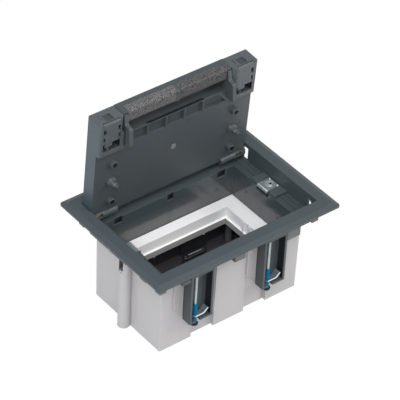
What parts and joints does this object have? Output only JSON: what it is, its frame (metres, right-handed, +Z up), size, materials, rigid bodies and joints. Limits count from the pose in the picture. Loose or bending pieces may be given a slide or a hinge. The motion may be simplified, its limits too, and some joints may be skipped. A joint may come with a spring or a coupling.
{
  "type": "floor socket box",
  "caption": "Recessed floor box for raised floors: grey box, dark frame with hinged lid, white device frame and claw clamps.",
  "frame": {"origin": "under the middle of the rim, on the underside of the lower box", "axes": "+Z up, +X along the long side, +Y towards the lid's hinges"},
  "size_m": [0.2, 0.1432, 0.2001],
  "materials": {
    "dark": "satin moulded, slate grey",
    "grey_box": "satin moulded, light grey",
    "white": "smooth white moulding",
    "zinc": "bright zinc plating",
    "steel_sheet": "galvanised sheet",
    "blue": "moulded, blue",
    "black": "moulded, black",
    "brass": "turned",
    "foam": "open-cell foam, charcoal"
  },
  "bodies": {
    "box": {"lower_box": "grey_box", "level_nuts": "zinc", "cable_clamp_bar": "grey_box", "cable_clamp_screws": "zinc"},
    "frame": {"floor_frame": "dark", "module_frame": "white", "saddle_left": "dark", "saddle_right": "dark", "clip_plate_left": "zinc", "clip_plate_right": "zinc", "clamp_channel_front_left": "dark", "clamp_channel_front_right": "dark", "clamp_channel_back_left": "dark", "clamp_channel_back_right": "dark"},
    "lid": {"lid_shell": "dark", "lid_plate": "steel_sheet", "latch_block_left": "dark", "latch_block_right": "dark", "hinge_pin_left": "brass", "hinge_pin_right": "brass"},
    "flap": {"cable_flap": "dark", "foam_strip_left": "foam", "foam_strip_right": "foam"},
    "latch_left": {"latch_left": "dark"},
    "level_screw_left": {"level_screw_left": "zinc"},
    "latch_right": {"latch_right": "dark"},
    "level_screw_right": {"level_screw_right": "zinc"},
    "clamp_screw_front_left": {"clamp_screw_front_left": "zinc", "clamp_disc_front_left": "black"},
    "clamp_nut_front_left": {"clamp_nut_front_left": "blue"},
    "clamp_claw_front_left": {"clamp_claw_front_left": "zinc"},
    "clamp_screw_front_right": {"clamp_screw_front_right": "zinc", "clamp_disc_front_right": "black"},
    "clamp_nut_front_right": {"clamp_nut_front_right": "blue"},
    "clamp_claw_front_right": {"clamp_claw_front_right": "zinc"},
    "clamp_screw_back_left": {"clamp_screw_back_left": "zinc", "clamp_disc_back_left": "black"},
    "clamp_nut_back_left": {"clamp_nut_back_left": "blue"},
    "clamp_claw_back_left": {"clamp_claw_back_left": "zinc"},
    "clamp_screw_back_right": {"clamp_screw_back_right": "zinc", "clamp_disc_back_right": "black"},
    "clamp_nut_back_right": {"clamp_nut_back_right": "blue"},
    "clamp_claw_back_right": {"clamp_claw_back_right": "zinc"}
  },
  "joints": [
    {"name": "box_depth", "type": "slide", "parent": "box", "child": "frame", "axis": [0, 0, 1], "range_m": [0, 0.02]},
    {"name": "level_screw_left_turn", "type": "hinge", "parent": "frame", "child": "level_screw_left", "pos_m": [-0.0795, 0, 0.0839], "axis": [0, 0, 1], "range_deg": [0, 10286.7]},
    {"name": "level_screw_right_turn", "type": "hinge", "parent": "frame", "child": "level_screw_right", "pos_m": [0.0795, 0, 0.0839], "axis": [0, 0, 1], "range_deg": [0, 10286.7]},
    {"name": "clamp_nut_front_left_lift", "type": "slide", "parent": "frame", "child": "clamp_nut_front_left", "axis": [0, 0, 1], "range_m": [0, 0.034]},
    {"name": "clamp_screw_front_left_turn", "type": "hinge", "parent": "frame", "child": "clamp_screw_front_left", "pos_m": [-0.0441, -0.0528, 0.0825], "axis": [0, 0, 1], "range_deg": [-17486.7, 0]},
    {"name": "clamp_claw_front_left_swing", "type": "hinge", "parent": "clamp_nut_front_left", "child": "clamp_claw_front_left", "pos_m": [-0.0441, -0.0528, 0.0315], "axis": [0, 0, 1], "range_deg": [-90, 0]},
    {"name": "clamp_nut_front_right_lift", "type": "slide", "parent": "frame", "child": "clamp_nut_front_right", "axis": [0, 0, 1], "range_m": [0, 0.034]},
    {"name": "clamp_screw_front_right_turn", "type": "hinge", "parent": "frame", "child": "clamp_screw_front_right", "pos_m": [0.0369, -0.0528, 0.0825], "axis": [0, 0, 1], "range_deg": [-17486.7, 0]},
    {"name": "clamp_claw_front_right_swing", "type": "hinge", "parent": "clamp_nut_front_right", "child": "clamp_claw_front_right", "pos_m": [0.0369, -0.0528, 0.0315], "axis": [0, 0, 1], "range_deg": [-90, 0]},
    {"name": "clamp_nut_back_left_lift", "type": "slide", "parent": "frame", "child": "clamp_nut_back_left", "axis": [0, 0, 1], "range_m": [0, 0.034]},
    {"name": "clamp_screw_back_left_turn", "type": "hinge", "parent": "frame", "child": "clamp_screw_back_left", "pos_m": [-0.0369, 0.0557, 0.0825], "axis": [0, 0, 1], "range_deg": [-17486.7, 0]},
    {"name": "clamp_claw_back_left_swing", "type": "hinge", "parent": "clamp_nut_back_left", "child": "clamp_claw_back_left", "pos_m": [-0.0369, 0.0557, 0.0315], "axis": [0, 0, 1], "range_deg": [-90, 0]},
    {"name": "clamp_nut_back_right_lift", "type": "slide", "parent": "frame", "child": "clamp_nut_back_right", "axis": [0, 0, 1], "range_m": [0, 0.034]},
    {"name": "clamp_screw_back_right_turn", "type": "hinge", "parent": "frame", "child": "clamp_screw_back_right", "pos_m": [0.0441, 0.0557, 0.0825], "axis": [0, 0, 1], "range_deg": [-17486.7, 0]},
    {"name": "clamp_claw_back_right_swing", "type": "hinge", "parent": "clamp_nut_back_right", "child": "clamp_claw_back_right", "pos_m": [0.0441, 0.0557, 0.0315], "axis": [0, 0, 1], "range_deg": [-90, 0]},
    {"name": "lid_hinge", "type": "hinge", "parent": "frame", "child": "lid", "pos_m": [0, 0.0513, 0.0934], "axis": [1, 0, 0], "range_deg": [-6, 86.43]},
    {"name": "flap_hinge", "type": "hinge", "parent": "lid", "child": "flap", "pos_m": [0, 0.05139, 0.18188], "axis": [-1, 0, 0], "range_deg": [0, 85]},
    {"name": "latch_left_slide", "type": "slide", "parent": "lid", "child": "latch_left", "axis": [0, -0.0623, 0.9981], "range_m": [0, 0.0024]},
    {"name": "latch_right_slide", "type": "slide", "parent": "lid", "child": "latch_right", "axis": [0, -0.0623, 0.9981], "range_m": [0, 0.0024]}
  ],
  "couplings": [
    {"joint": "level_screw_left_turn", "follows": "box_depth", "rad_per_m": 8976},
    {"joint": "level_screw_right_turn", "follows": "box_depth", "rad_per_m": 8976},
    {"joint": "clamp_screw_front_left_turn", "follows": "clamp_nut_front_left_lift", "rad_per_m": -8976},
    {"joint": "clamp_screw_front_right_turn", "follows": "clamp_nut_front_right_lift", "rad_per_m": -8976},
    {"joint": "clamp_screw_back_left_turn", "follows": "clamp_nut_back_left_lift", "rad_per_m": -8976},
    {"joint": "clamp_screw_back_right_turn", "follows": "clamp_nut_back_right_lift", "rad_per_m": -8976}
  ]
}
